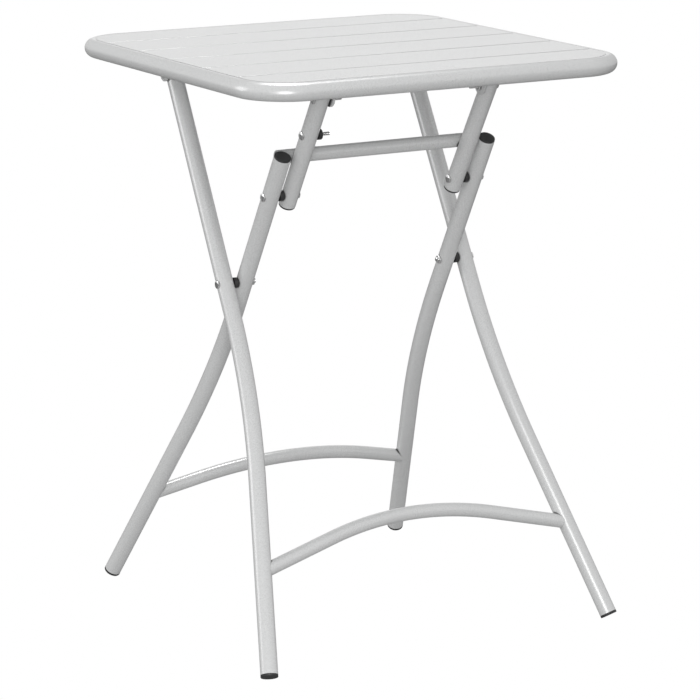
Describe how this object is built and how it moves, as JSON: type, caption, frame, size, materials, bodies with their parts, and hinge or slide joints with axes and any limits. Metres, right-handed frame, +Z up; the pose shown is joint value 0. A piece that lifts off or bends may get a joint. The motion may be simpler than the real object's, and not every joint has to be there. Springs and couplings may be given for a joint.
{
  "type": "folding bistro table",
  "caption": "Square slatted cafe table on a folding scissor frame of round tube, its top hinged at the back and held up by short struts.",
  "frame": {"origin": "on the floor, under the middle of the top", "axes": "+X along the slats, +Z up; the outer frame's feet stand at -Y and the inner frame's feet at +Y"},
  "size_m": [0.5166, 0.5166, 0.7104],
  "materials": {
    "silver_powder_coat": "satin silver-grey powder coat with a very fine grain",
    "bright_steel": "bright zinc-plated steel",
    "black_plastic": "moulded matt black"
  },
  "bodies": {
    "outer_frame": {"outer_leg_left": "silver_powder_coat", "outer_leg_right": "silver_powder_coat", "front_stretcher": "silver_powder_coat", "outer_foot_left": "black_plastic", "outer_foot_right": "black_plastic", "outer_top_plug_left": "black_plastic", "outer_top_plug_right": "black_plastic", "cross_bolt_left": "bright_steel", "cross_bolt_right": "bright_steel", "cross_nut_left": "bright_steel", "cross_nut_right": "bright_steel", "cross_spacer_left": "black_plastic", "cross_spacer_right": "black_plastic"},
    "inner_frame": {"inner_leg_left": "silver_powder_coat", "inner_leg_right": "silver_powder_coat", "rear_stretcher": "silver_powder_coat", "crossbar": "silver_powder_coat", "inner_foot_left": "black_plastic", "inner_foot_right": "black_plastic", "inner_top_plug_left": "black_plastic", "inner_top_plug_right": "black_plastic", "strut_bolt_left": "bright_steel", "strut_bolt_right": "bright_steel"},
    "tabletop": {"top_rim": "silver_powder_coat", "slat_1": "silver_powder_coat", "slat_2": "silver_powder_coat", "slat_3": "silver_powder_coat", "slat_4": "silver_powder_coat", "slat_5": "silver_powder_coat", "slat_6": "silver_powder_coat", "rear_bracket_left": "silver_powder_coat", "rear_bracket_right": "silver_powder_coat", "front_bracket_left": "silver_powder_coat", "front_bracket_right": "silver_powder_coat", "hinge_bolt_left": "bright_steel", "hinge_bolt_right": "bright_steel", "hinge_nut_left": "bright_steel", "hinge_nut_right": "bright_steel"},
    "strut_left_body": {"strut_left": "silver_powder_coat", "strut_foot_plug_left": "black_plastic", "strut_head_plug_left": "black_plastic", "head_bolt_left": "bright_steel", "head_nut_left": "bright_steel", "strut_spacer_left": "black_plastic", "barrel_nut_left": "bright_steel", "peg_bolt": "bright_steel", "peg_bush": "black_plastic"},
    "strut_right_body": {"strut_right": "silver_powder_coat", "strut_foot_plug_right": "black_plastic", "strut_head_plug_right": "black_plastic", "head_bolt_right": "bright_steel", "head_nut_right": "bright_steel", "strut_spacer_right": "black_plastic", "barrel_nut_right": "bright_steel"}
  },
  "joints": [
    {"name": "fold", "type": "hinge", "parent": "outer_frame", "child": "inner_frame", "pos_m": [0, -0.001, 0.4291], "axis": [-1, 0, 0], "range_deg": [0, 54]},
    {"name": "top_tilt", "type": "hinge", "parent": "outer_frame", "child": "tabletop", "pos_m": [0, 0.13581, 0.6726], "axis": [1, 0, 0], "range_deg": [0, 37.7]},
    {"name": "strut_left_swing", "type": "hinge", "parent": "tabletop", "child": "strut_left_body", "pos_m": [0, -0.1436, 0.6715], "axis": [1, 0, 0], "range_deg": [0, 41.41]},
    {"name": "strut_right_swing", "type": "hinge", "parent": "tabletop", "child": "strut_right_body", "pos_m": [0, -0.1436, 0.6715], "axis": [1, 0, 0], "range_deg": [0, 41.41]}
  ],
  "couplings": [
    {"joint": "top_tilt", "follows": "fold", "ratio": 0.6981},
    {"joint": "strut_left_swing", "follows": "fold", "ratio": 0.7669},
    {"joint": "strut_right_swing", "follows": "fold", "ratio": 0.7669}
  ]
}
